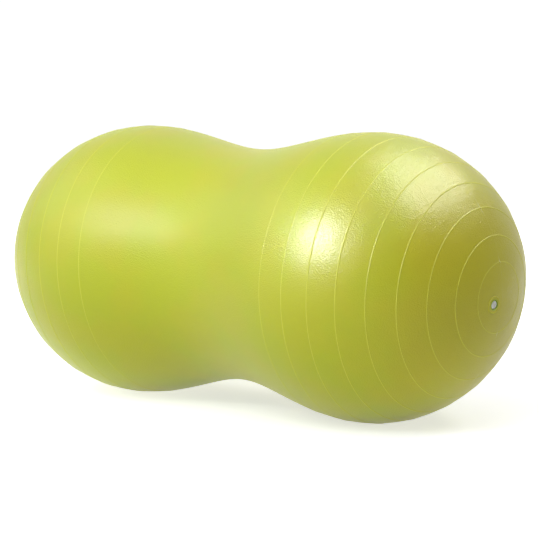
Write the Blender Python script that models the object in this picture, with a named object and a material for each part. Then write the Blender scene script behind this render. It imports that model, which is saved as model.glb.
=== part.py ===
"""A peanut-shaped exercise ball with a push-in valve stopper.

Metres, +Z up. The long axis lies along X, the valve is in the +X end, and the origin
is on the floor under the middle of the ball. The ball is a body of revolution about
an axis that arches slightly, so that both ends droop, and it rests on two small flats
where its own weight presses the lobes against the floor.
"""

import math

import bmesh
import bpy
import numpy as np
from mathutils import Vector

# The inflated ball
LENGTH = 0.900
LOBE_DIAMETER = 0.4284
WAIST_DIAMETER = 0.3570
LOBE_SPACING = 0.4506
ARCH_RADIUS = 5.63
FLATTENING = 0.0020
SKIN_THICKNESS = 0.0012

# The moulded rings, placed by their distance along the skin from the end point
END_RING_DISTANCE = 0.0516
FIRST_RING_GAP = 0.0380
RING_PITCH = 0.0430
RINGS_PER_LOBE = 8
RING_WIDTH = 0.0030
RING_HEIGHT = 0.0008

# The valve, set off the end point towards -Y and downwards
VALVE_SIDE_OFFSET = 0.0176
VALVE_DROP = 0.0083
RIM_DIAMETER = 0.0260
RIM_HEIGHT = 0.0004
FLANGE_OVERLAP = 0.0070
FLANGE_THICKNESS = 0.0015
NECK_WALL = 0.0030
BOND_GAP = 0.0003

# The stopper
HEAD_DIAMETER = 0.0118
HEAD_THICKNESS = 0.0020
HEAD_RECESS = 0.0006
STEM_DIAMETER = 0.0080
STEM_TIP_DIAMETER = 0.0062
STEM_LENGTH = 0.0240
BARB_COUNT = 3
BARB_HEIGHT = 0.0004
MOUTH_GAP = 0.0016
STEM_CLEARANCE = 0.0003
NECK_BEYOND_STEM = 0.0020

# Mesh fineness
SKIN_SEGMENTS = 40
SKIN_STEP = 0.0230
VALVE_SEGMENTS = 24
CURVE_SAMPLES = 2000

HALF_LENGTH = LENGTH / 2
LOBE_RADIUS = LOBE_DIAMETER / 2
WAIST_RADIUS = WAIST_DIAMETER / 2
CREST_STATION = LOBE_SPACING / 2
END_DEPTH = HALF_LENGTH - CREST_STATION
END_CURVE_RADIUS = LOBE_RADIUS ** 2 / END_DEPTH


def clear_objects():
    for item in list(bpy.data.objects):
        bpy.data.objects.remove(item, do_unlink=True)


def make_material(name, colour, roughness):
    material = bpy.data.materials.new(name)
    material.use_nodes = True
    shader = material.node_tree.nodes["Principled BSDF"]
    shader.inputs["Base Color"].default_value = (*colour, 1.0)
    shader.inputs["Roughness"].default_value = roughness
    shader.inputs["Metallic"].default_value = 0.0
    return material


def half_meridian():
    """Return stations, radii and distances from the end point, waist first.

    A cosine runs from the waist up to the lobe's crest, and a quarter ellipse
    closes the end.
    """
    waist_x = np.linspace(0.0, CREST_STATION, CURVE_SAMPLES)
    swing = (LOBE_RADIUS - WAIST_RADIUS) / 2
    waist_r = WAIST_RADIUS + swing * (1 - np.cos(math.pi * waist_x / CREST_STATION))
    turn = np.linspace(math.pi / 2, 0.0, CURVE_SAMPLES)[1:]
    end_x = CREST_STATION + END_DEPTH * np.cos(turn)
    end_r = LOBE_RADIUS * np.sin(turn)
    x = np.concatenate([waist_x, end_x])
    r = np.concatenate([waist_r, end_r])
    steps = np.hypot(np.diff(x), np.diff(r))
    from_waist = np.concatenate([[0.0], np.cumsum(steps)])
    return x, r, from_waist[-1] - from_waist


MERIDIAN_X, MERIDIAN_R, MERIDIAN_DISTANCE = half_meridian()
HALF_GIRTH = MERIDIAN_DISTANCE[0]
MERIDIAN_SLOPE_X = np.gradient(MERIDIAN_X, MERIDIAN_DISTANCE)
MERIDIAN_SLOPE_R = np.gradient(MERIDIAN_R, MERIDIAN_DISTANCE)


def along_meridian(distance, values):
    """Read values, which run from the waist to the end point, at a distance from that point."""
    return np.interp(distance, MERIDIAN_DISTANCE[::-1], values[::-1])


def skin_point(distance, height):
    """Return station and radius at a distance from the +X end point, raised by height."""
    slope_x = along_meridian(distance, MERIDIAN_SLOPE_X)
    slope_r = along_meridian(distance, MERIDIAN_SLOPE_R)
    size = math.hypot(slope_x, slope_r)
    x = along_meridian(distance, MERIDIAN_X) + height * slope_r / size
    r = along_meridian(distance, MERIDIAN_R) - height * slope_x / size
    return x, r


def ring_distances():
    first = END_RING_DISTANCE + FIRST_RING_GAP
    return [END_RING_DISTANCE] + [first + RING_PITCH * n for n in range(RINGS_PER_LOBE)]


def stations(ring_points):
    """Return (distance, height) pairs from the end point to the waist.

    ring_points gives the points across one ring as (offset, height), and the plain
    skin between the rings is divided evenly.
    """
    points = []
    last = 0.0
    for centre in ring_distances():
        across = [(centre + offset, height) for offset, height in ring_points]
        points += plain_stations(last, across[0][0])
        points += across
        last = across[-1][0]
    points += plain_stations(last, HALF_GIRTH)
    points.append((HALF_GIRTH, 0.0))
    return points


def plain_stations(start, end):
    count = max(1, round((end - start) / SKIN_STEP))
    return [(start + (end - start) * n / count, 0.0) for n in range(1, count)]


def ball_outline(ring_points, depth):
    """Return the (x, r) outline from the -X end point to the +X one, sunk by depth."""
    half = [(HALF_LENGTH - depth, 0.0)]
    half += [skin_point(distance, height - depth) for distance, height in stations(ring_points)]
    mirrored = [(-x, r) for x, r in half]
    return mirrored + half[-2::-1]


def arch(point):
    """Bend a point of the straight ball onto the arched axis."""
    angle = point.x / ARCH_RADIUS
    reach = ARCH_RADIUS + point.z
    return Vector((reach * math.sin(angle), point.y, reach * math.cos(angle) - ARCH_RADIUS))


def axis_height():
    """Return the height of the axis at the waist when the lobes press on the floor."""
    angle = MERIDIAN_X / ARCH_RADIUS
    lowest = np.min((ARCH_RADIUS - MERIDIAN_R) * np.cos(angle) - ARCH_RADIUS)
    return -lowest - FLATTENING


def turned(outline, axis, segments):
    """Spin an outline of (position along axis, radius) points into a closed surface."""
    form = bmesh.new()
    side = Vector((0.0, 0.0, -1.0)) if axis.x else Vector((1.0, 0.0, 0.0))
    profile = [form.verts.new(axis * along + side * radius) for along, radius in outline]
    edges = [form.edges.new(pair) for pair in zip(profile, profile[1:])]
    if outline[0][1] > 0:
        edges.append(form.edges.new((profile[-1], profile[0])))
    bmesh.ops.spin(
        form, geom=profile + edges, cent=(0, 0, 0), axis=axis,
        angle=math.tau, steps=segments, use_merge=True,
    )
    bmesh.ops.remove_doubles(form, verts=form.verts, dist=1e-6)
    bmesh.ops.recalc_face_normals(form, faces=form.faces)
    return form


def ball_surface(ring_points, depth):
    """Return the ball's surface, sunk by depth, arched and flattened at the floor."""
    form = turned(ball_outline(ring_points, depth), Vector((1.0, 0.0, 0.0)), SKIN_SEGMENTS)
    lift = Vector((0.0, 0.0, axis_height()))
    for vertex in form.verts:
        vertex.co = arch(vertex.co) + lift
    everything = form.verts[:] + form.edges[:] + form.faces[:]
    bmesh.ops.bisect_plane(
        form, geom=everything, dist=1e-6,
        plane_co=(0, 0, depth), plane_no=(0, 0, 1), clear_inner=True,
    )
    rim = [edge for edge in form.edges if edge.is_boundary]
    bmesh.ops.holes_fill(form, edges=rim)
    bmesh.ops.recalc_face_normals(form, faces=form.faces)
    return form


def add_object(name, form, material=None, parent=None):
    mesh = bpy.data.meshes.new(name)
    form.to_mesh(mesh)
    form.free()
    mesh.shade_smooth()
    mesh.set_sharp_from_angle(angle=math.radians(35))
    item = bpy.data.objects.new(name, mesh)
    bpy.context.scene.collection.objects.link(item)
    item.parent = parent
    if material:
        mesh.materials.append(material)
    return item


def add_cutter(name, form, parent=None):
    cutter = add_object(name, form, parent=parent)
    cutter.hide_render = True
    cutter.display_type = "WIRE"
    return cutter


def cut(item, cutter):
    boolean = item.modifiers.new(cutter.name, "BOOLEAN")
    boolean.operation = "DIFFERENCE"
    boolean.solver = "EXACT"
    boolean.object = cutter


def make_valve_axis():
    """Place an empty on the skin at the valve, with its Z along the outward normal."""
    offset = Vector((-VALVE_SIDE_OFFSET, -VALVE_DROP))
    share = 1 - (offset.length / LOBE_RADIUS) ** 2
    straight = Vector((CREST_STATION + END_DEPTH * math.sqrt(share), offset.x, offset.y))
    normal = Vector((
        (straight.x - CREST_STATION) / END_DEPTH ** 2,
        straight.y / LOBE_RADIUS ** 2,
        straight.z / LOBE_RADIUS ** 2,
    )).normalized()
    step = LENGTH / CURVE_SAMPLES
    outward = (arch(straight + normal * step) - arch(straight)).normalized()
    empty = bpy.data.objects.new("valve_axis", None)
    bpy.context.scene.collection.objects.link(empty)
    empty.location = arch(straight) + Vector((0.0, 0.0, axis_height()))
    empty.rotation_mode = "QUATERNION"
    empty.rotation_quaternion = outward.to_track_quat("Z", "Y")
    return empty


def skin_level(radius, depth):
    """Return the height of a surface that lies depth under the skin round the valve."""
    return -radius ** 2 / (2 * END_CURVE_RADIUS) - depth


def make_ball_shell(valve_axis, skin):
    half_width = RING_WIDTH / 2
    bead = [(-half_width, 0.0), (0.0, RING_HEIGHT), (half_width, 0.0)]
    shell = add_object("ball_shell", ball_surface(bead, 0.0), skin)
    chamber = add_cutter("air_chamber", ball_surface([(0.0, 0.0)], SKIN_THICKNESS))
    cut(shell, chamber)
    reach = FLANGE_THICKNESS + SKIN_THICKNESS + RIM_DIAMETER
    hole_radius = RIM_DIAMETER / 2 + BOND_GAP
    hole = turned(
        [(-reach, 0.0), (-reach, hole_radius), (reach, hole_radius), (reach, 0.0)],
        Vector((0.0, 0.0, 1.0)), VALVE_SEGMENTS,
    )
    cut(shell, add_cutter("skin_hole", hole, valve_axis))


def stem_radius(along):
    """Return the stem's radius at a distance under the head, without its barbs."""
    tip = STEM_TIP_DIAMETER / 2
    return STEM_DIAMETER / 2 - (STEM_DIAMETER / 2 - tip) * along / STEM_LENGTH


HEAD_TOP = RIM_HEIGHT - HEAD_RECESS
HEAD_UNDERSIDE = HEAD_TOP - HEAD_THICKNESS
STEM_TIP = HEAD_UNDERSIDE - STEM_LENGTH
SEAT = HEAD_UNDERSIDE - BOND_GAP


def make_valve_insert(valve_axis, soft_green):
    """The seat: a rim in the skin, a flange bonded behind it and a neck inside."""
    rim = RIM_DIAMETER / 2
    mouth = HEAD_DIAMETER / 2 + MOUTH_GAP
    bore = STEM_DIAMETER / 2 + STEM_CLEARANCE
    neck = bore + NECK_WALL
    flange = rim + FLANGE_OVERLAP
    under_skin = SKIN_THICKNESS + 2 * BOND_GAP
    neck_end = STEM_TIP - NECK_BEYOND_STEM
    edge = RIM_HEIGHT / 2
    back = under_skin + FLANGE_THICKNESS
    outline = [
        (RIM_HEIGHT, mouth + edge),
        (RIM_HEIGHT, rim - 3 * edge),
        (skin_level(rim, 0.0) + edge, rim),
        (skin_level(rim, under_skin), rim),
        (skin_level(flange, under_skin), flange),
        (skin_level(flange, back), flange),
        (skin_level(neck, back) - NECK_WALL / 2, neck + NECK_WALL / 2),
        (skin_level(neck, back) - NECK_WALL, neck),
        (neck_end + NECK_WALL / 3, neck),
        (neck_end, neck - NECK_WALL / 3),
        (neck_end, bore),
        (SEAT - BOND_GAP, bore),
        (SEAT, bore + BOND_GAP),
        (SEAT, mouth),
        (RIM_HEIGHT - edge, mouth),
    ]
    form = turned(outline, Vector((0.0, 0.0, 1.0)), VALVE_SEGMENTS)
    add_object("valve_insert", form, soft_green, valve_axis)


def make_valve_plug(valve_axis, white):
    """The stopper: a softly crowned head on a tapered stem with shallow barbs."""
    head = HEAD_DIAMETER / 2
    round_off = HEAD_THICKNESS / 4
    outline = [
        (HEAD_TOP, 0.0),
        (HEAD_TOP - round_off / 4, head / 2),
        (HEAD_TOP - round_off, head - round_off),
        (HEAD_TOP - 2 * round_off, head),
        (HEAD_UNDERSIDE, head),
        (HEAD_UNDERSIDE, stem_radius(0.0) - BARB_HEIGHT),
    ]
    spacing = STEM_LENGTH / (BARB_COUNT + 1)
    for n in range(BARB_COUNT):
        top = spacing * (n + 0.5)
        for along, height in ((0.0, -BARB_HEIGHT), (spacing / 4, 0.0), (spacing / 2, -BARB_HEIGHT)):
            outline.append((HEAD_UNDERSIDE - top - along, stem_radius(top + along) + height))
    tip = STEM_TIP_DIAMETER / 2 - BARB_HEIGHT
    outline += [(STEM_TIP + tip / 2, tip), (STEM_TIP, tip / 2), (STEM_TIP, 0.0)]
    form = turned(outline, Vector((0.0, 0.0, 1.0)), VALVE_SEGMENTS)
    add_object("valve_plug", form, white, valve_axis)


def main():
    clear_objects()
    skin = make_material("lime_pvc", (0.50, 0.60, 0.060), 0.38)
    soft_green = make_material("green_soft_pvc", (0.30, 0.42, 0.030), 0.45)
    white = make_material("white_plastic", (0.72, 0.72, 0.68), 0.42)
    valve_axis = make_valve_axis()
    make_ball_shell(valve_axis, skin)
    make_valve_insert(valve_axis, soft_green)
    make_valve_plug(valve_axis, white)


main()
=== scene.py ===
"""Looks of the peanut-shaped exercise ball: skin, valve seat, stopper, studio and camera."""

import logging
import math
from dataclasses import dataclass
from enum import Enum
from functools import cached_property
from typing import Callable, Sequence

import bmesh
import bpy
import numpy as np
from mathutils import Matrix, Vector, noise


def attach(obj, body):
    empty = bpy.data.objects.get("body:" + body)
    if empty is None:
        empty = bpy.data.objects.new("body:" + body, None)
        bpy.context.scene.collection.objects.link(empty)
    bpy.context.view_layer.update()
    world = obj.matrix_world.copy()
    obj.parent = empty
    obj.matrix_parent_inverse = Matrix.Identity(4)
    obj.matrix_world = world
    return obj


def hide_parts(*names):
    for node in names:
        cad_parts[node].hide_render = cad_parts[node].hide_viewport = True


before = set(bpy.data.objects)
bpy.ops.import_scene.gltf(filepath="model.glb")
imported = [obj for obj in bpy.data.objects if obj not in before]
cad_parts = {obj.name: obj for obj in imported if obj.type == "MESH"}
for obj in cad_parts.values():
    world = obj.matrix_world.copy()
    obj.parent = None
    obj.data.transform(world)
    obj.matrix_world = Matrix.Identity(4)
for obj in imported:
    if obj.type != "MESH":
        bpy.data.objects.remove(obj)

LOG = logging.getLogger("exercise_ball")
IMAGE_WIDTH = 540
SENSOR_WIDTH = 36.0
UP = Vector((0.0, 0.0, 1.0))
ALONG = Vector((1.0, 0.0, 0.0))

Colour = tuple[float, float, float, float]
Span = tuple[float, float]


class Body(Enum):
    """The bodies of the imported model."""

    BALL = "ball"
    STOPPER = "stopper"


class Slot(Enum):
    """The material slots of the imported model."""

    SKIN = "skin"
    SEAT = "valve_seat"
    STOPPER = "stopper"


class Term:
    """A shader socket that Python expressions add Math nodes to."""

    def __init__(self, graph: "Graph", socket: bpy.types.NodeSocket) -> None:
        """Wrap a socket of a graph."""
        self.graph = graph
        self.socket = socket

    def math(self, operation: str, *values: "Term | float") -> "Term":
        """Return a Math node's result.

        Args:
            operation: the Math node's operation.
            values: its inputs, in order.

        Returns:
            The wrapped result.
        """
        inputs = dict(enumerate(values))
        return self.graph.term("ShaderNodeMath", {"operation": operation}, inputs)

    def __add__(self, other: "Term | float") -> "Term":
        """Add."""
        return self.math("ADD", self, other)

    def __radd__(self, other: float) -> "Term":
        """Add to a number."""
        return self.math("ADD", other, self)

    def __sub__(self, other: "Term | float") -> "Term":
        """Subtract."""
        return self.math("SUBTRACT", self, other)

    def __rsub__(self, other: float) -> "Term":
        """Subtract from a number."""
        return self.math("SUBTRACT", other, self)

    def __mul__(self, other: "Term | float") -> "Term":
        """Multiply."""
        return self.math("MULTIPLY", self, other)

    def __rmul__(self, other: float) -> "Term":
        """Multiply a number."""
        return self.math("MULTIPLY", other, self)

    def size(self) -> "Term":
        """Return the value without its sign."""
        return self.math("ABSOLUTE", self)


class Graph:
    """The node tree of one material or world."""

    def __init__(self, tree: bpy.types.NodeTree) -> None:
        """Empty the tree and start from nothing."""
        self.tree = tree
        self.tree.nodes.clear()

    def node(self, kind: str, settings: dict | None = None,
             inputs: dict | None = None) -> bpy.types.Node:
        """Add one node.

        Args:
            kind: the node's type.
            settings: its properties, set first; "stops" is a ramp's list of (place, colour).
            inputs: values or links of its sockets, by name or number.

        Returns:
            The new node.
        """
        made = self.tree.nodes.new(kind)
        for name, value in (settings or {}).items():
            if name == "stops":
                self._set_stops(made.color_ramp, value)
            else:
                setattr(made, name, value)
        for name, value in (inputs or {}).items():
            socket = made.inputs[name]
            source = value.socket if isinstance(value, Term) else value
            if isinstance(source, bpy.types.NodeSocket):
                self.tree.links.new(source, socket)
            else:
                socket.default_value = source
        return made

    def term(self, kind: str, settings: dict | None = None, inputs: dict | None = None,
             output: str | int = 0) -> Term:
        """Add one node and wrap one of its outputs."""
        return Term(self, self.node(kind, settings, inputs).outputs[output])

    @staticmethod
    def _set_stops(ramp: bpy.types.ColorRamp, stops: Sequence[tuple[float, tuple]]) -> None:
        """Give a colour ramp its stops."""
        while len(ramp.elements) < len(stops):
            ramp.elements.new(1.0)
        for element, (place, colour) in zip(ramp.elements, stops):
            element.position = place
            element.color = colour

    def place(self) -> Term:
        """Return the Object coordinates."""
        return self.term("ShaderNodeTexCoord", output="Object")

    def axis(self, where: Term, name: str) -> Term:
        """Return one coordinate, X, Y or Z, of a place."""
        return self.term("ShaderNodeSeparateXYZ", inputs={0: where}, output=name)

    def mark(self, name: str) -> Term:
        """Return a number stored on the piece's points."""
        return self.term("ShaderNodeAttribute", {"attribute_name": name}, output="Fac")

    def noise(self, where: Term, scale: float, detail: float = 2.0, roughness: float = 0.5) -> Term:
        """Return a noise pattern of about 0 to 1, scale in cells for each metre."""
        inputs = {"Vector": where, "Scale": scale, "Detail": detail, "Roughness": roughness}
        return self.term("ShaderNodeTexNoise", inputs=inputs)

    def spread(self, value: Term, low: float, high: float) -> Term:
        """Map low..high to 0..1 smoothly."""
        inputs = {"Value": value, 1: low, 2: high}
        return self.term("ShaderNodeMapRange", {"interpolation_type": "SMOOTHSTEP"}, inputs)

    def mix(self, factor: Term, first: "Term | tuple", second: "Term | tuple") -> Term:
        """Mix two colours."""
        settings = {"data_type": "RGBA", "blend_type": "MIX"}
        return self.term("ShaderNodeMix", settings, {0: factor, 6: first, 7: second}, output=2)

    def bump(self, height: Term, distance: float, under: Term | None = None) -> Term:
        """Return a normal raised by height times distance, in metres, over another normal."""
        inputs = {"Strength": 1.0, "Distance": distance, "Height": height}
        if under is not None:
            inputs["Normal"] = under
        return self.term("ShaderNodeBump", inputs=inputs, output="Normal")


def rgb(red: float, green: float, blue: float) -> Colour:
    """Return a linear colour with full alpha."""
    return red, green, blue, 1.0


WHITE = rgb(1.0, 1.0, 1.0)


@dataclass(frozen=True)
class BallForm:
    """The inflated ball: a body of revolution about a slightly arched axis, in metres."""

    length: float = 0.900
    lobe_diameter: float = 0.4284
    waist_diameter: float = 0.3570
    lobe_spacing: float = 0.4506
    arch_radius: float = 5.63
    flattening: float = 0.0020
    skin_thickness: float = 0.0012
    valve_side_offset: float = 0.0176
    valve_drop: float = 0.0083
    samples: int = 2000

    @property
    def crest(self) -> float:
        """Station of the widest part of a lobe."""
        return self.lobe_spacing / 2

    @property
    def end_depth(self) -> float:
        """Length of the rounded end beyond the crest."""
        return self.length / 2 - self.crest

    @property
    def lobe_radius(self) -> float:
        """Radius of a lobe at its crest."""
        return self.lobe_diameter / 2

    @property
    def end_curve_radius(self) -> float:
        """Radius of curvature at the end point."""
        return self.lobe_radius ** 2 / self.end_depth

    def meridian(self) -> tuple[np.ndarray, np.ndarray, np.ndarray]:
        """Return stations, radii and distances along the skin from the end point, waist first."""
        waist_radius = self.waist_diameter / 2
        waist_x = np.linspace(0.0, self.crest, self.samples)
        swing = (self.lobe_radius - waist_radius) / 2
        waist_r = waist_radius + swing * (1 - np.cos(math.pi * waist_x / self.crest))
        turn = np.linspace(math.pi / 2, 0.0, self.samples)[1:]
        x = np.concatenate([waist_x, self.crest + self.end_depth * np.cos(turn)])
        r = np.concatenate([waist_r, self.lobe_radius * np.sin(turn)])
        from_waist = np.concatenate([[0.0], np.cumsum(np.hypot(np.diff(x), np.diff(r)))])
        return x, r, from_waist[-1] - from_waist

    def skin_points(self, distances: np.ndarray, heights: np.ndarray) -> list[tuple[float, float]]:
        """Return (station, radius) at distances from the end point, raised by heights."""
        x, r, distance = self.meridian()
        slopes = [np.gradient(values, distance) for values in (x, r)]
        read = [np.interp(distances, distance[::-1], values[::-1]) for values in (x, r, *slopes)]
        size = np.hypot(read[2], read[3])
        stations = read[0] + heights * read[3] / size
        radii = read[1] - heights * read[2] / size
        return list(zip(stations.tolist(), radii.tolist()))

    @cached_property
    def axis_height(self) -> float:
        """Height of the axis at the waist when the lobes press on the floor, worked out once."""
        x, r, _ = self.meridian()
        lowest = np.min((self.arch_radius - r) * np.cos(x / self.arch_radius) - self.arch_radius)
        return float(-lowest - self.flattening)

    def arch(self, point: Vector) -> Vector:
        """Bend a point of the straight ball onto the arched axis, at its height over the floor."""
        angle = point.x / self.arch_radius
        reach = self.arch_radius + point.z
        height = reach * math.cos(angle) - self.arch_radius + self.axis_height
        return Vector((reach * math.sin(angle), point.y, height))

    def unarched(self, points: np.ndarray) -> np.ndarray:
        """Return world points in the straight ball's own coordinates."""
        rise = points[:, 2] - self.axis_height + self.arch_radius
        station = np.arctan2(points[:, 0], rise) * self.arch_radius
        height = np.hypot(points[:, 0], rise) - self.arch_radius
        return np.stack([station, points[:, 1], height], axis=1)

    def distance_along(self, straight: np.ndarray) -> np.ndarray:
        """Return how far points of the straight ball lie along the skin from the nearer end."""
        station = np.abs(straight[:, 0])
        radius = np.hypot(straight[:, 1], straight[:, 2])
        x, r, distance = self.meridian()
        beyond = np.maximum(station - self.crest, 0.0) / self.end_depth
        turn = np.arctan2(radius / self.lobe_radius, beyond)
        grid_beyond = np.maximum(x - self.crest, 0.0) / self.end_depth
        grid_turn = np.arctan2(r / self.lobe_radius, grid_beyond)
        end = slice(self.samples, None)
        on_end = np.interp(turn, grid_turn[end][::-1], distance[end][::-1])
        on_waist = np.interp(station, x, distance)
        return np.where(station > self.crest, on_end, on_waist)

    def valve_frame(self) -> Matrix:
        """Return the valve's place on the skin, with its Z along the outward normal."""
        side, drop = -self.valve_side_offset, -self.valve_drop
        share = 1 - (side ** 2 + drop ** 2) / self.lobe_radius ** 2
        straight = Vector((self.crest + self.end_depth * math.sqrt(share), side, drop))
        normal = Vector((
            (straight.x - self.crest) / self.end_depth ** 2,
            straight.y / self.lobe_radius ** 2,
            straight.z / self.lobe_radius ** 2,
        )).normalized()
        step = self.length / self.samples
        outward = (self.arch(straight + normal * step) - self.arch(straight)).normalized()
        turn = outward.to_track_quat("Z", "Y").to_matrix().to_4x4()
        return Matrix.Translation(self.arch(straight)) @ turn

    def valve_skin_level(self, radius: float, depth: float = 0.0) -> float:
        """Return the height, over the valve's place, of a surface depth under the skin."""
        return -radius ** 2 / (2 * self.end_curve_radius) - depth


@dataclass(frozen=True)
class RingSet:
    """The moulded rings round one lobe, placed along the skin from its end point."""

    end_ring: float = 0.0516
    first_gap: float = 0.0380
    pitch: float = 0.0430
    count: int = 8
    width: float = 0.0021
    height: float = 0.00042
    strengths: tuple[float, ...] = (0.8, 1.0, 1.0, 1.0, 1.0, 1.0, 1.0, 0.9, 0.8)
    across: tuple[float, ...] = (-2.6, -1.6, -1.0, -0.66, -0.33, 0.0, 0.33, 0.66, 1.0, 1.6, 2.6)

    def distances(self) -> list[float]:
        """Return each ring's distance from the end point."""
        first = self.end_ring + self.first_gap
        return [self.end_ring] + [first + self.pitch * n for n in range(self.count)]

    def mask(self, distance: np.ndarray) -> np.ndarray:
        """Return a ring's strength on its ridge and 0 outside it."""
        gaps = np.abs(distance[:, None] - np.array(self.distances())[None])
        nearest = gaps.argmin(axis=1)
        share = np.clip(gaps.min(axis=1) / (self.width / 2), 0.0, 1.0)
        return np.array(self.strengths)[nearest] * (0.5 + 0.5 * np.cos(math.pi * share))

    def stations(self, last: float, step: float) -> tuple[np.ndarray, np.ndarray]:
        """Return distances and heights from the end point to the waist.

        Args:
            last: the waist's distance from the end point.
            step: the widest gap between two stations on plain skin.

        Returns:
            The distances and the heights over the skin.
        """
        places: list[float] = []
        start = 0.0
        for centre in self.distances():
            across = [centre + share * self.width / 2 for share in self.across]
            places += self._plain(start, across[0], step) + across
            start = across[-1]
        places += self._plain(start, last, step) + [last]
        distances = np.array(places)
        return distances, self.height * self.mask(distances)

    @staticmethod
    def _plain(start: float, end: float, step: float) -> list[float]:
        """Divide plain skin evenly between two distances."""
        count = max(1, math.ceil((end - start) / step))
        return [start + (end - start) * n / count for n in range(1, count)]


@dataclass(frozen=True)
class PartingLine:
    """The fine line that the two halves of the mould leave along the ball, with its small nubs."""

    angle: float = math.radians(85.5)
    width: float = 0.0013
    height: float = 0.00012
    across: tuple[float, ...] = (-2.8, -1.7, -1.0, -0.5, 0.5, 1.0, 1.7, 2.8)
    nub_size: float = 0.0011
    nub_height: float = 0.0007
    nubs: tuple[float, ...] = (0.0516, 0.1326)
    flashes: tuple[tuple[float, float, float], ...] = (
        (0.0530, 0.0022, 1.0), (0.1326, 0.0090, 0.8), (0.2150, 0.0300, 0.3))
    plain_flash: float = 0.05

    @property
    def side(self) -> Vector:
        """Direction of the line from the axis."""
        return Vector((0.0, -math.cos(self.angle), math.sin(self.angle)))

    @property
    def normal(self) -> Vector:
        """Normal of the mould's plane."""
        return Vector((0.0, math.sin(self.angle), math.cos(self.angle)))

    def ridge(self, offsets: np.ndarray) -> np.ndarray:
        """Return 1 on the line and 0 beside it, from distances across the mould's plane."""
        share = np.clip(np.abs(offsets) / (self.width / 2), 0.0, 1.0)
        return 0.5 + 0.5 * np.cos(math.pi * share)

    def lift(self, offsets: np.ndarray, along: np.ndarray, upper: np.ndarray) -> np.ndarray:
        """Return how far the line and its nubs stand over the skin.

        Args:
            offsets: distances across the mould's plane.
            along: distances along the skin from the end point.
            upper: whether a point is on the upper half.

        Returns:
            The heights.
        """
        nub = sum(np.exp(-((along - place) ** 2 + offsets ** 2) / self.nub_size ** 2)
                  for place in self.nubs)
        return self.height * self.ridge(offsets) + self.nub_height * nub * upper

    def paleness(self, offsets: np.ndarray, along: np.ndarray) -> np.ndarray:
        """Return how pale the line is, strongest at a few places."""
        flash = sum(size * np.exp(-((along - place) / reach) ** 2)
                    for place, reach, size in self.flashes)
        return self.ridge(offsets) * np.clip(flash + self.plain_flash, 0.0, 1.0)


def spun(outline: Sequence[tuple[float, float]], axis: Vector, side: Vector,
         steps: int) -> bmesh.types.BMesh:
    """Spin an outline into a closed surface.

    Args:
        outline: points as (position along the axis, radius).
        axis: the axis of the spin.
        side: the direction of the radius where the spin starts.
        steps: the number of columns.

    Returns:
        The new surface, faces outward.
    """
    form = bmesh.new()
    profile = [form.verts.new(axis * along + side * radius) for along, radius in outline]
    edges = [form.edges.new(pair) for pair in zip(profile, profile[1:])]
    if outline[0][1] > 0:
        edges.append(form.edges.new((profile[-1], profile[0])))
    bmesh.ops.spin(
        form, geom=profile + edges, cent=(0, 0, 0), axis=axis,
        angle=math.tau, steps=steps, use_merge=True,
    )
    bmesh.ops.remove_doubles(form, verts=form.verts, dist=1e-6)
    bmesh.ops.recalc_face_normals(form, faces=form.faces)
    return form


def rounded(corners: Sequence[tuple[float, float, float]],
            steps: int = 5) -> list[tuple[float, float]]:
    """Round the corners of an outline with arcs.

    Args:
        corners: (along, radius, rounding) of each corner.
        steps: points on each arc.

    Returns:
        The outline's points.
    """
    points: list[tuple[float, float]] = []
    total = len(corners)
    closed = corners[0][1] > 0
    for n, (along, radius, rounding) in enumerate(corners):
        here = Vector((along, radius))
        if rounding <= 0 or (not closed and n in (0, total - 1)):
            points.append((along, radius))
            continue
        before = (Vector(corners[n - 1][:2]) - here)
        after = (Vector(corners[(n + 1) % total][:2]) - here)
        half = before.angle(after) / 2
        reach = min(rounding / math.tan(half), before.length * 0.49, after.length * 0.49)
        start = here + before.normalized() * reach
        end = here + after.normalized() * reach
        for k in range(steps):
            share = k / (steps - 1)
            bend = start * (1 - share) ** 2 + here * 2 * share * (1 - share) + end * share ** 2
            points.append((bend.x, bend.y))
    return points


def new_object(name: str, form: bmesh.types.BMesh, smooth_angle: float = 35.0) -> bpy.types.Object:
    """Turn a bmesh into an object of the scene, shaded smooth."""
    mesh = bpy.data.meshes.new(name)
    form.to_mesh(mesh)
    form.free()
    mesh.shade_smooth()
    mesh.set_sharp_from_angle(angle=math.radians(smooth_angle))
    piece = bpy.data.objects.new(name, mesh)
    bpy.context.scene.collection.objects.link(piece)
    return piece


def mark_points(piece: bpy.types.Object, name: str, values: Sequence[float]) -> None:
    """Store one number for each point of a piece, for its material."""
    layer = piece.data.attributes.new(name, "FLOAT", "POINT")
    layer.data.foreach_set("value", values)


def cut_away(piece: bpy.types.Object, cutters: Sequence[bpy.types.Object]) -> None:
    """Cut solids out of a piece, apply the cuts and remove the cutters."""
    for cutter in cutters:
        boolean = piece.modifiers.new(cutter.name, "BOOLEAN")
        boolean.operation = "DIFFERENCE"
        boolean.solver = "EXACT"
        boolean.object = cutter
    graph = bpy.context.evaluated_depsgraph_get()
    finished = bpy.data.meshes.new_from_object(piece.evaluated_get(graph))
    piece.modifiers.clear()
    piece.data = finished
    for cutter in cutters:
        bpy.data.objects.remove(cutter, do_unlink=True)


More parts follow.
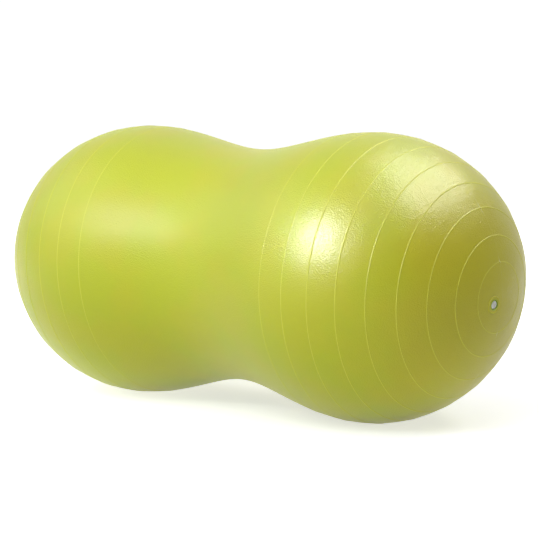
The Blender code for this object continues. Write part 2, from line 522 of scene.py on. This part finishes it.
@dataclass(frozen=True)
class SkinFinish:
    """Satin lime PVC with a fine pebble grain, in linear colours and metres."""

    name: str = "lime_skin"
    colour: Colour = rgb(0.500, 0.552, 0.0158)
    yellower: Colour = rgb(0.538, 0.536, 0.0172)
    # Painted warm shade: a warm, redder tint over the valve end, which lies in shade.
    painted_warm_shade: Colour = rgb(0.556, 0.500, 0.0150)
    # Paler tint on the ring ridges and the seat's bead: a painted highlight where the raised beads
    # catch the light.
    ridge: Colour = rgb(0.730, 0.730, 0.0700)
    flash: Colour = rgb(0.85, 0.86, 0.50)
    # Darker green at the valve's mouth: painted shade of the gap, its lip, the flange's underside
    # and the hidden neck.
    mouth: Colour = rgb(0.32, 0.47, 0.008)
    roughness: float = 0.35
    ridge_roughness: float = 0.30
    grain_cells: float = 640.0
    grain_height: float = 0.00042
    rumple_cells: float = 55.0
    rumple_height: float = 0.00070
    ior: float = 1.6
    specular: float = 0.24
    crease_height: float = 0.00012
    billow_cells: float = 12.0
    cloud_span: Span = (0.38, 0.62)
    cloud_share: float = 0.7
    fleck_share: float = 0.3
    painted_warm_shade_span: Span = (0.27, 0.46)
    painted_warm_shade_stray: float = 0.12
    mark_share: float = 0.85
    patch_cells: float = 45.0
    grain_unevenness: float = 0.12
    patch_unevenness: float = 0.06
    folds_along: Span = (0.20, 0.32)
    folds_up: Span = (0.27, 0.34)
    crease_cells: float = 14.0
    crease_width: float = 0.016

    def material(self) -> bpy.types.Material:
        """Return the skin's material."""
        made = bpy.data.materials.new(self.name)
        made.use_nodes = True
        graph = Graph(made.node_tree)
        where = graph.place()
        grain = graph.noise(where, self.grain_cells, 0.5, 0.5)
        shader = graph.node("ShaderNodeBsdfPrincipled", inputs={
            "Base Color": self._colour(graph, where),
            "Roughness": self._roughness(graph, where, grain),
            "IOR": self.ior,
            "Specular IOR Level": self.specular,
            "Normal": graph.bump(grain, self.grain_height, self._folds(graph, where)),
        })
        graph.node("ShaderNodeOutputMaterial", inputs={"Surface": shader.outputs[0]})
        return made

    def _colour(self, graph: Graph, where: Term) -> Term:
        """Return the colour: cloudy lime, painted warm shade at the valve end, painted highlight on
        ridges, flash on the line and painted shade at the mouth.
        """
        billow = graph.noise(where, self.billow_cells, 2.0)
        fleck = graph.noise(where, self.grain_cells * 0.5, 1.0)
        cloud = graph.spread(billow, *self.cloud_span)
        share = cloud * self.cloud_share + fleck * self.fleck_share
        colour = graph.mix(share, self.colour, self.yellower)
        # Painted warm shade: the valve end takes the warm tint, with a cloudy edge.
        along = graph.axis(where, "X") + (billow - 0.5) * self.painted_warm_shade_stray
        colour = graph.mix(graph.spread(along, *self.painted_warm_shade_span), colour, self.painted_warm_shade)
        # Ridges get a painted highlight, the parting line its own pale flash, the mouth painted
        # shade.
        for mark, tint in (("ridge", self.ridge), ("line", self.flash), ("mouth", self.mouth)):
            colour = graph.mix(graph.mark(mark) * self.mark_share, colour, tint)
        return colour

    def _roughness(self, graph: Graph, where: Term, grain: Term) -> Term:
        """Return the roughness, uneven from patch to patch and grain to grain, more on ridges."""
        patches = graph.noise(where, self.patch_cells, 3.0)
        uneven = (grain - 0.5) * self.grain_unevenness + (patches - 0.5) * self.patch_unevenness
        return uneven + graph.mark("ridge") * self.ridge_roughness + self.roughness

    def _folds(self, graph: Graph, where: Term) -> Term:
        """Return a normal with faint folds over the valve's shoulder, as a packed skin has."""
        along = graph.spread(graph.axis(where, "X"), *self.folds_along)
        patch = along * graph.spread(graph.axis(where, "Z"), *self.folds_up)
        rumple = graph.bump(graph.noise(where, self.rumple_cells, 2.0) * patch, self.rumple_height)
        thread = (graph.noise(where, self.crease_cells, 2.0) - 0.5).size()
        crease = (1.0 - graph.spread(thread, 0.0, self.crease_width)) * patch
        return graph.bump(crease, self.crease_height, rumple)


@dataclass(frozen=True)
class MouldedFinish:
    """A small moulded piece: one colour, mottled, with a fine satin grain."""

    name: str
    colour: Colour
    second: Colour
    roughness: float
    grain_cells: float = 1500.0
    grain_height: float = 0.00002
    cloud_cells: float = 160.0
    cloud_span: Span = (0.3, 0.7)
    grain_unevenness: float = 0.12

    def material(self) -> bpy.types.Material:
        """Return the piece's material."""
        made = bpy.data.materials.new(self.name)
        made.use_nodes = True
        graph = Graph(made.node_tree)
        where = graph.place()
        cloud = graph.spread(graph.noise(where, self.cloud_cells, 3.0), *self.cloud_span)
        grain = graph.noise(where, self.grain_cells, 2.0, 0.6)
        shader = graph.node("ShaderNodeBsdfPrincipled", inputs={
            "Base Color": graph.mix(cloud, self.colour, self.second),
            "Roughness": (grain - 0.5) * self.grain_unevenness + self.roughness,
            "Normal": graph.bump(grain, self.grain_height),
        })
        graph.node("ShaderNodeOutputMaterial", inputs={"Surface": shader.outputs[0]})
        return made


@dataclass
class BallSkin:
    """The fine skin: two lobes, raised rings, a parting line and two contact flats."""

    form: BallForm
    rings: RingSet
    hole_radius: float
    finish: SkinFinish = SkinFinish()
    columns: int = 256
    step: float = 0.0075
    inner_columns: int = 64
    inner_step: float = 0.020
    line: PartingLine = PartingLine()
    uneven_height: float = 0.00025
    uneven_cells: float = 9.0

    def build(self) -> bpy.types.Object:
        """Model the skin and dress it.

        Returns:
            The finished piece.
        """
        outer = self._surface(self.rings, self.step, self.columns, 0.0, self._outer_details)
        plain = RingSet(height=0.0, across=(0.0,))
        depth = self.form.skin_thickness
        inner = self._surface(plain, self.inner_step, self.inner_columns, depth, None)
        piece = new_object("skin", outer)
        chamber = new_object("chamber", inner)
        reach = self.hole_radius
        hole = spun(
            [(-reach, 0.0), (-reach, self.hole_radius), (reach, self.hole_radius), (reach, 0.0)],
            UP, ALONG, 96,
        )
        bmesh.ops.transform(hole, matrix=self.form.valve_frame(), verts=hole.verts)
        cut_away(piece, [chamber, new_object("hole", hole)])
        piece.data.set_sharp_from_angle(angle=math.radians(50))
        self._paint(piece)
        piece.data.materials.clear()
        piece.data.materials.append(self.finish.material())
        return piece

    def _surface(self, rings: RingSet, step: float, columns: int, depth: float,
                 details: Callable[[bmesh.types.BMesh], None] | None) -> bmesh.types.BMesh:
        """Return the ball's surface, sunk by depth, arched and flat at the floor."""
        last = float(self.form.meridian()[2][0])
        distances, heights = rings.stations(last, step)
        half = [(self.form.length / 2 - depth, 0.0)]
        half += self.form.skin_points(distances, heights - depth)
        outline = [(-x, r) for x, r in half] + half[-2::-1]
        surface = spun(outline, ALONG, self.line.side, columns)
        if details:
            details(surface)
        for vertex in surface.verts:
            vertex.co = self.form.arch(vertex.co)
        bmesh.ops.bisect_plane(
            surface, geom=surface.verts[:] + surface.edges[:] + surface.faces[:], dist=1e-6,
            plane_co=(0, 0, depth), plane_no=(0, 0, 1), clear_inner=True,
        )
        bmesh.ops.holes_fill(surface, edges=[edge for edge in surface.edges if edge.is_boundary])
        bmesh.ops.recalc_face_normals(surface, faces=surface.faces)
        return surface

    def _outer_details(self, surface: bmesh.types.BMesh) -> None:
        """Raise the parting line and make the skin a little uneven, on the straight ball."""
        across = self.line.normal
        for share in self.line.across:
            geometry = surface.verts[:] + surface.edges[:] + surface.faces[:]
            bmesh.ops.bisect_plane(
                surface, geom=geometry, dist=1e-6,
                plane_co=across * (share * self.line.width / 2), plane_no=across,
            )
        surface.normal_update()
        points = np.array([vertex.co for vertex in surface.verts])
        along = self.form.distance_along(points)
        upper = points @ np.array(self.line.side) > 0
        lifts = self.line.lift(points @ np.array(across), along, upper)
        for vertex, lift in zip(surface.verts, lifts):
            swell = self.uneven_height * noise.noise(vertex.co * self.uneven_cells)
            vertex.co += vertex.normal * (float(lift) + swell)

    def _paint(self, piece: bpy.types.Object) -> None:
        """Store where the rings and the parting line are, for the material."""
        points = np.empty(len(piece.data.vertices) * 3)
        piece.data.vertices.foreach_get("co", points)
        straight = self.form.unarched(points.reshape(-1, 3))
        along = self.form.distance_along(straight)
        offsets = straight @ np.array(self.line.normal)
        mark_points(piece, "ridge", self.rings.mask(along))
        mark_points(piece, "line", self.line.paleness(offsets, along))


@dataclass(frozen=True)
class ValveSizes:
    """What the seat and the stopper share, in metres."""

    rim_diameter: float = 0.0260
    rim_height: float = 0.0004
    flange_overlap: float = 0.0070
    flange_thickness: float = 0.0015
    neck_wall: float = 0.0030
    bond_gap: float = 0.0003
    head_diameter: float = 0.0118
    head_thickness: float = 0.0020
    head_recess: float = 0.0006
    stem_diameter: float = 0.0080
    stem_tip_diameter: float = 0.0062
    stem_length: float = 0.0240
    barb_count: int = 3
    barb_height: float = 0.0004
    mouth_gap: float = 0.0007
    stem_clearance: float = 0.0003
    neck_beyond_stem: float = 0.0020

    @property
    def head_top(self) -> float:
        """Height of the head's top over the skin."""
        return self.rim_height - self.head_recess

    @property
    def head_underside(self) -> float:
        """Height of the head's underside."""
        return self.head_top - self.head_thickness

    @property
    def stem_tip(self) -> float:
        """Height of the stem's tip."""
        return self.head_underside - self.stem_length


@dataclass
class ValveSeat:
    """The soft seat in the skin: a beaded rim, a bonded flange and a neck inside."""

    form: BallForm
    sizes: ValveSizes = ValveSizes()
    finish: SkinFinish = SkinFinish("lime_seat", grain_height=0.00004, crease_height=0.0)
    columns: int = 96
    groove_depth: float = 0.0005
    lip_width: float = 0.0012
    bead_width: float = 0.0016
    bead_painted_highlight: float = 0.5
    painted_shade_reach: float = 1.4

    def build(self) -> bpy.types.Object:
        """Model the seat and dress it.

        Returns:
            The finished piece.
        """
        sizes = self.sizes
        rim = sizes.rim_diameter / 2
        mouth = sizes.head_diameter / 2 + sizes.mouth_gap
        bore = sizes.stem_diameter / 2 + sizes.stem_clearance
        neck = bore + sizes.neck_wall
        flange = rim + sizes.flange_overlap
        under = sizes.bond_gap * 2 + self.form.skin_thickness
        back = under + sizes.flange_thickness
        seat = sizes.head_underside - sizes.bond_gap
        end = sizes.stem_tip - sizes.neck_beyond_stem
        level = self.form.valve_skin_level
        groove = sizes.rim_height - self.groove_depth
        outline = rounded([
            (sizes.rim_height, mouth, 0.0004),
            (sizes.rim_height, mouth + self.lip_width, 0.0006),
            (groove, mouth + self.lip_width * 1.8, 0.0010),
            (groove, rim - self.bead_width * 1.8, 0.0010),
            (sizes.rim_height - 0.0001, rim - self.bead_width, 0.0005),
            (sizes.rim_height - 0.0001, rim - self.bead_width * 0.6, 0.0010),
            (level(rim) + 0.0001, rim, 0.0003),
            (level(rim, under), rim, 0.0),
            (level(flange, under), flange, 0.0003),
            (level(flange, back), flange, 0.0005),
            (level(neck, back), neck, 0.0020),
            (end, neck, 0.0010),
            (end, bore, 0.0006),
            (seat, bore, 0.0004),
            (seat, mouth, 0.0005),
        ])
        form = spun(outline, UP, ALONG, self.columns)
        radii = np.array([math.hypot(vertex.co.x, vertex.co.y) for vertex in form.verts])
        heights = np.array([vertex.co.z for vertex in form.verts])
        bmesh.ops.transform(form, matrix=self.form.valve_frame(), verts=form.verts)
        piece = new_object("seat", form, 50.0)
        bead = np.exp(-((radii - rim + self.bead_width * 0.8) / (self.bead_width * 0.5)) ** 2)
        # Painted shade: the lip and gap round the head, the flange's underside and the neck take
        # the darker mouth tint.
        inside = (radii < mouth + self.lip_width * self.painted_shade_reach) | (heights < level(rim, under))
        # The seat's bead takes the ridges' paler tint, a painted highlight.
        mark_points(piece, "ridge", bead * self.bead_painted_highlight)
        mark_points(piece, "mouth", inside.astype(float))
        piece.data.materials.append(self.finish.material())
        return piece


@dataclass
class Stopper:
    """The push-in stopper: a dished head on a tapered stem with shallow barbs."""

    form: BallForm
    sizes: ValveSizes = ValveSizes()
    finish: MouldedFinish = MouldedFinish(
        "milky_stopper", rgb(0.80, 0.80, 0.70), rgb(0.71, 0.71, 0.60), 0.38)
    columns: int = 96
    dish_radius: float = 0.0030
    dish_depth: float = 0.0007

    def build(self) -> bpy.types.Object:
        """Model the stopper and dress it.

        Returns:
            The finished piece.
        """
        sizes = self.sizes
        head = sizes.head_diameter / 2
        top = sizes.head_top
        corners = [
            (top - self.dish_depth, 0.0, 0.0),
            (top - self.dish_depth, self.dish_radius * 0.8, 0.0006),
            (top, self.dish_radius, 0.0006),
            (top - 0.0001, head - 0.0004, 0.0006),
            (top - 0.0012, head, 0.0008),
            (sizes.head_underside, head, 0.0003),
            (sizes.head_underside, self._stem(0.0) - sizes.barb_height, 0.0004),
        ]
        spacing = sizes.stem_length / (sizes.barb_count + 1)
        for n in range(sizes.barb_count):
            start = spacing * (n + 0.5)
            for along, rise in ((0.0, -1.0), (spacing / 5, 0.0), (spacing / 2, -1.0)):
                place = start + along
                radius = self._stem(place) + rise * sizes.barb_height
                corners.append((sizes.head_underside - place, radius, 0.0006))
        tip = sizes.stem_tip_diameter / 2 - sizes.barb_height
        corners += [(sizes.stem_tip, tip, 0.0014), (sizes.stem_tip, 0.0, 0.0)]
        form = spun(rounded(corners), UP, ALONG, self.columns)
        bmesh.ops.transform(form, matrix=self.form.valve_frame(), verts=form.verts)
        piece = new_object("plug", form, 50.0)
        piece.data.materials.append(self.finish.material())
        return piece

    def _stem(self, along: float) -> float:
        """Return the stem's radius at a distance under the head."""
        root = self.sizes.stem_diameter / 2
        tip = self.sizes.stem_tip_diameter / 2
        return root + (tip - root) * along / self.sizes.stem_length


class LampKind(Enum):
    """The kinds of studio lamp."""

    SOFTBOX = "AREA"
    BEAM = "SPOT"


class Shine(Enum):
    """What a lamp does for a surface: light it, mirror in it, or both."""

    BOTH = "both"
    SOFT = "soft"
    GLOSS = "gloss"


def heading(azimuth: float, elevation: float) -> Vector:
    """Return the direction at an azimuth, 0 at +X and 90 at +Y, and an elevation, in degrees."""
    turn, rise = math.radians(azimuth), math.radians(elevation)
    level = math.cos(rise)
    return Vector((math.cos(turn) * level, math.sin(turn) * level, math.sin(rise)))


@dataclass(frozen=True)
class Lamp:
    """A studio lamp: where it stands round its aim, in degrees and metres, and how strong it is."""

    name: str
    kind: LampKind
    azimuth: float
    elevation: float
    distance: float
    size: float
    power: float
    aim: tuple[float, float, float] = (0.0, 0.0, 0.2155)
    colour: tuple[float, float, float] = (1.0, 1.0, 1.0)
    cone: float = 20.0
    shine: Shine = Shine.BOTH

    def build(self) -> None:
        """Place the lamp and turn it to its aim."""
        data = bpy.data.lights.new(self.name, self.kind.value)
        data.energy = self.power
        data.color = self.colour
        if self.kind is LampKind.BEAM:
            data.shadow_soft_size = self.size / 2
            data.spot_size = math.radians(self.cone)
            data.spot_blend = 1.0
        else:
            data.shape = "DISK"
            data.size = self.size
        lamp = bpy.data.objects.new(self.name, data)
        lamp.visible_diffuse = self.shine is not Shine.GLOSS
        lamp.visible_glossy = self.shine is not Shine.SOFT
        away = heading(self.azimuth, self.elevation)
        lamp.location = Vector(self.aim) + away * self.distance
        lamp.rotation_mode = "QUATERNION"
        lamp.rotation_quaternion = away.to_track_quat("Z", "Y")
        bpy.context.scene.collection.objects.link(lamp)


@dataclass(frozen=True)
class Spill:
    """A painted pool of light on the floor, which glows and lights the ball from below: where, how
    wide and how strong, in metres.
    """

    x: float
    y: float
    reach: float
    strength: float

    def glow(self, graph: Graph, where: Term) -> Term:
        """Return the spot's light at a place of the floor."""
        inputs = {0: where, 1: (self.x, self.y, 0.0)}
        away = graph.term("ShaderNodeVectorMath", {"operation": "DISTANCE"}, inputs, "Value")
        return away.math("POWER", math.e, away * away * (-1 / self.reach ** 2)) * self.strength


LEFT_LOBE = (-0.1017, -0.1783, 0.2904)
RIGHT_LOBE = (0.2721, -0.1958, 0.2867)
RIGHT_TOP = (0.3492, -0.0487, 0.3846)
WAIST_TOP = (0.0405, -0.0388, 0.3935)


@dataclass
class Studio:
    """White floor and background, soft lamps and the camera of the photograph."""

    form: BallForm
    floor_radius: float = 40.0
    floor_colour: Colour = rgb(0.80, 0.80, 0.80)
    floor_glow: float = 0.022
    world_light: float = 0.050
    white_near: float = 0.52
    white_span: Span = (0.6, 1.6)
    lamps: tuple[Lamp, ...] = (
        Lamp("right_top", LampKind.SOFTBOX, 50.0, 50.0, 2.5, 1.0, 16.2, RIGHT_TOP,
             (1.00, 0.98, 0.98)),
        Lamp("left_beam", LampKind.BEAM, -112.0, 33.0, 3.0, 0.3, 378.7, LEFT_LOBE,
             (1.00, 1.00, 1.00), 4.0),
        Lamp("front", LampKind.SOFTBOX, -95.0, 42.0, 3.5, 2.4, 35.4, colour=(0.84, 0.87, 1.00)),
        Lamp("left", LampKind.SOFTBOX, -150.0, 35.0, 3.5, 3.0, 41.0, colour=(0.88, 0.90, 1.00)),
        Lamp("right_wide_beam", LampKind.BEAM, -108.4, 31.4, 3.0, 0.2, 24.2, RIGHT_LOBE,
             (0.75, 0.82, 1.00), 10.0),
        Lamp("right_beam", LampKind.BEAM, -108.4, 31.4, 3.0, 0.2, 109.6, RIGHT_LOBE,
             (0.96, 0.97, 1.00), 6.0),
        Lamp("overhead", LampKind.SOFTBOX, 0.0, 89.0, 2.5, 2.5, 13.8),
        Lamp("front_right", LampKind.SOFTBOX, -70.0, 50.0, 3.5, 2.4, 25.8,
             colour=(0.83, 0.85, 1.00)),
        Lamp("top", LampKind.SOFTBOX, 0.0, 75.0, 2.5, 1.0, 3.5, RIGHT_TOP, (0.87, 0.81, 1.00)),
        Lamp("low_left", LampKind.SOFTBOX, -130.0, 10.0, 3.5, 2.0, 13.4, colour=(0.65, 0.73, 1.00)),
        Lamp("low_front", LampKind.SOFTBOX, -100.0, 10.0, 3.5, 2.0, 9.4, colour=(0.34, 0.47, 1.00)),
        Lamp("back_fill", LampKind.SOFTBOX, 130.0, 30.0, 3.5, 3.0, 20.0, shine=Shine.SOFT),
        Lamp("left_wash", LampKind.BEAM, -112.0, 33.0, 3.0, 1.0, 3.2, LEFT_LOBE,
             (0.00, 0.00, 1.00), 22.0, Shine.SOFT),
        Lamp("right_halo", LampKind.BEAM, -108.4, 31.4, 3.0, 1.0, 657.9, RIGHT_LOBE,
             (0.98, 0.98, 1.00), 14.0, Shine.GLOSS),
        Lamp("right_low_gleam", LampKind.BEAM, -108.0, 28.0, 3.0, 0.3, 492.3, RIGHT_LOBE,
             (0.97, 0.98, 1.00), 6.0, Shine.GLOSS),
        Lamp("right_gleam", LampKind.BEAM, -108.4, 31.4, 3.0, 0.2, 670.8, RIGHT_LOBE,
             (0.98, 0.98, 1.00), 6.0, Shine.GLOSS),
        Lamp("patch_low", LampKind.SOFTBOX, 0.0, 66.0, 2.5, 0.8, 38.9, RIGHT_TOP,
             (0.98, 0.98, 1.00), shine=Shine.GLOSS),
        Lamp("patch_back", LampKind.SOFTBOX, 95.0, 55.0, 2.5, 1.4, 21.6, RIGHT_TOP,
             (0.90, 0.92, 1.00), shine=Shine.GLOSS),
        Lamp("patch_high", LampKind.SOFTBOX, 90.0, 75.0, 2.5, 0.8, 35.1, RIGHT_TOP,
             (0.95, 0.96, 1.00), shine=Shine.GLOSS),
        Lamp("waist_top", LampKind.SOFTBOX, 125.0, 30.0, 2.5, 2.0, 0.2, WAIST_TOP,
             (0.00, 0.00, 1.00), shine=Shine.GLOSS),
        Lamp("left_gleam", LampKind.BEAM, -110.0, 28.0, 3.0, 0.8, 198.1, LEFT_LOBE,
             (0.98, 0.98, 1.00), 6.0, Shine.GLOSS),
        Lamp("patch_side", LampKind.SOFTBOX, 70.0, 50.0, 2.5, 0.8, 29.7, RIGHT_TOP,
             (0.94, 0.96, 1.00), shine=Shine.GLOSS),
        Lamp("patch_front", LampKind.SOFTBOX, 20.0, 60.0, 2.5, 0.8, 31.9, RIGHT_TOP,
             (0.98, 0.98, 1.00), shine=Shine.GLOSS),
    )
    spills: tuple[Spill, ...] = (
        Spill(-0.42, -0.15, 0.30, 0.282),
        Spill(0.45, 0.00, 0.30, 0.129),
        Spill(-0.22, 0.39, 0.30, 0.092),
    )
    camera_azimuth: float = 39.843
    camera_elevation: float = 5.940
    camera_distance: float = 3.1850
    camera_right: float = 0.01843
    camera_up: float = -0.00806
    focal_pixels: float = 2062.0

    def build(self) -> None:
        """Make the floor, the world, the lamps and the camera."""
        centre = Vector((0.0, 0.0, self.form.axis_height))
        self._floor()
        self._world()
        for lamp in self.lamps:
            lamp.build()
        self._camera(centre)
        bpy.context.scene.view_settings.view_transform = "Standard"

    def _floor(self) -> None:
        """Make the pale floor, white to the rays that show it but for the ball's shadow, with
        glowing painted pools of light.
        """
        form = bmesh.new()
        bmesh.ops.create_circle(form, cap_ends=True, segments=64, radius=self.floor_radius)
        piece = new_object("floor", form)
        made = bpy.data.materials.new("floor")
        made.use_nodes = True
        graph = Graph(made.node_tree)
        where = graph.place()
        matt = graph.node("ShaderNodeBsdfDiffuse", inputs={"Color": self.floor_colour})
        away = graph.term("ShaderNodeVectorMath", {"operation": "LENGTH"}, {0: where}, "Value")
        white = graph.spread(away, *self.white_span) * (1 - self.white_near) + self.white_near
        glow = sum((spill.glow(graph, where) for spill in self.spills), self.floor_glow)
        strength = glow + self._seen(graph) * white
        light = graph.node("ShaderNodeEmission", inputs={"Color": WHITE, "Strength": strength})
        both = graph.node("ShaderNodeAddShader", inputs={0: matt.outputs[0], 1: light.outputs[0]})
        graph.node("ShaderNodeOutputMaterial", inputs={"Surface": both.outputs[0]})
        piece.data.materials.append(made)

    def _world(self) -> None:
        """Make the world: white where it is seen or mirrored, and a plain soft light."""
        world = bpy.data.worlds.new("studio")
        world.use_nodes = True
        bpy.context.scene.world = world
        graph = Graph(world.node_tree)
        strength = self.world_light + self._seen(graph)
        back = graph.node("ShaderNodeBackground", inputs={"Color": WHITE, "Strength": strength})
        graph.node("ShaderNodeOutputWorld", inputs={"Surface": back.outputs[0]})

    @staticmethod
    def _seen(graph: Graph) -> Term:
        """Return 1 for the rays that show the white background."""
        outputs = ("Is Camera Ray", "Is Glossy Ray", "Is Transmission Ray")
        return sum((graph.term("ShaderNodeLightPath", output=name) for name in outputs), 0.0)

    def _camera(self, centre: Vector) -> None:
        """Place the camera where the photograph was taken from."""
        turn, rise = math.radians(self.camera_azimuth), math.radians(self.camera_elevation)
        level = math.cos(rise)
        back = Vector((math.sin(turn) * level, -math.cos(turn) * level, math.sin(rise)))
        right = Vector((math.cos(turn), math.sin(turn), 0.0))
        up = back.cross(right)
        data = bpy.data.cameras.new("camera")
        data.sensor_width = SENSOR_WIDTH
        data.lens = self.focal_pixels / IMAGE_WIDTH * SENSOR_WIDTH
        data.clip_end = 200.0
        camera = bpy.data.objects.new("camera", data)
        place = centre + back * self.camera_distance
        place = place + right * self.camera_right + up * self.camera_up
        facing = Matrix((right, up, back)).transposed().to_4x4()
        camera.matrix_world = Matrix.Translation(place) @ facing
        bpy.context.scene.collection.objects.link(camera)
        bpy.context.scene.camera = camera


def enlist(piece: bpy.types.Object, node: str, body: Body) -> None:
    """Tell the frame which node a piece stands for and what it moves with."""
    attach(piece, body.value)
    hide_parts(node)
    LOG.info("%s stands for %s with %d vertices", piece.name, node, len(piece.data.vertices))


def main() -> None:
    """Build every piece in order."""
    logging.basicConfig(level=logging.INFO, format="%(name)s: %(message)s")
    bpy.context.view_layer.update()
    form = BallForm()
    sizes = ValveSizes()
    Studio(form).build()
    skin = BallSkin(form, RingSet(), sizes.rim_diameter / 2 + sizes.bond_gap).build()
    enlist(skin, "ball_shell", Body.BALL)
    seat = ValveSeat(form, sizes).build()
    enlist(seat, "valve_insert", Body.BALL)
    plug = Stopper(form, sizes).build()
    enlist(plug, "valve_plug", Body.STOPPER)


if __name__ == "__main__":
    main()
